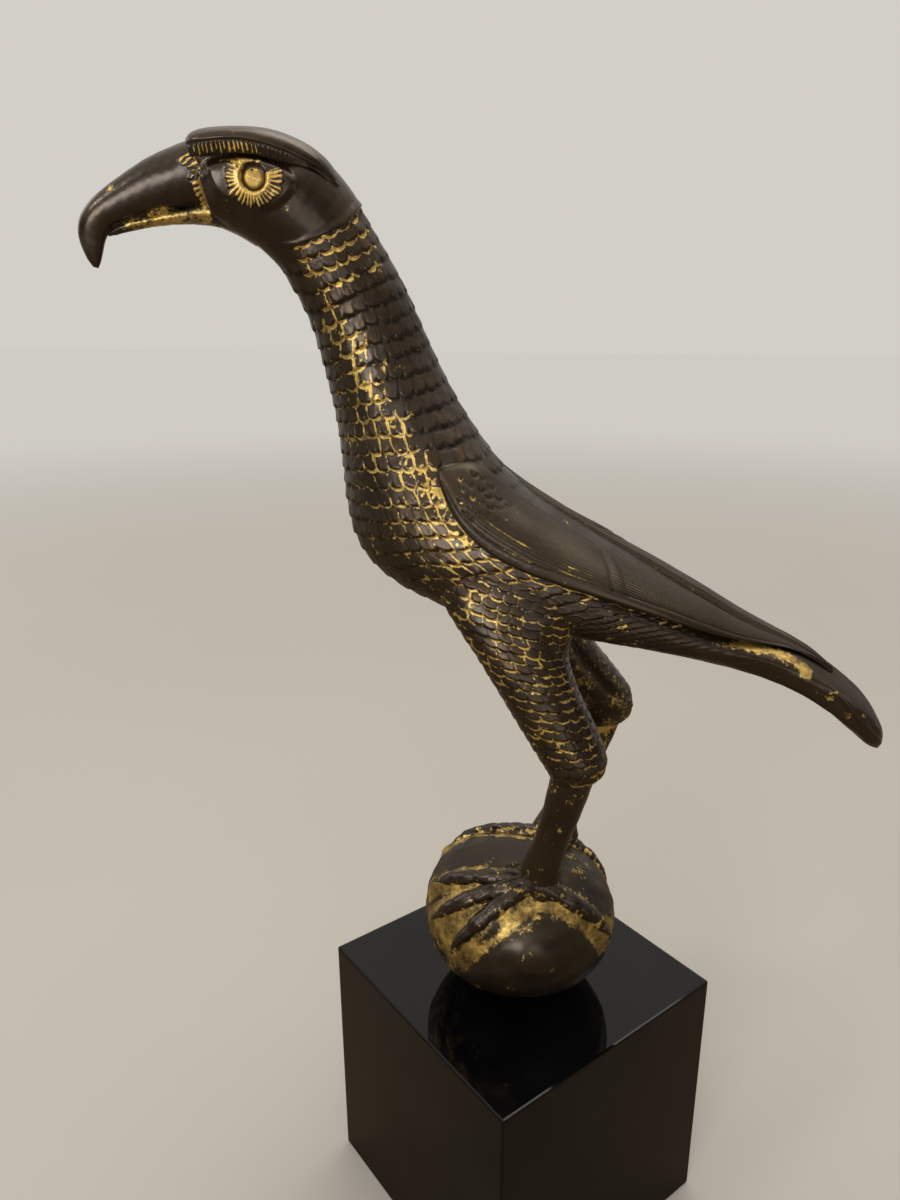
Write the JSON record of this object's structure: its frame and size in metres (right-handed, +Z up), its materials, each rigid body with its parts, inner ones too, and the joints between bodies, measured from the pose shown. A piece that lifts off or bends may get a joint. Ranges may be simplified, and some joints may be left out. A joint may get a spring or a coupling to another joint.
{
  "type": "falcon sculpture",
  "caption": "Standing falcon of dark patinated bronze with gilt-touched scale feathers, gripping a rounded stone on a polished black block plinth.",
  "frame": {"origin": "middle of the plinth's underside, on the surface the part stands on", "axes": "+Z up; the bird looks along -X with its head turned a little towards -Y; its left side faces -Y; the plinth is turned 50 degrees about Z"},
  "size_m": [0.2406, 0.1402, 0.3867],
  "materials": {
    "bronze": "dark brown patina, satin to glossy, with worn gilding in the carved grooves",
    "black_stone": "polished black, sharp edges barely eased"
  },
  "bodies": {
    "root": {"falcon": "bronze", "plinth": "black_stone"}
  },
  "joints": []
}
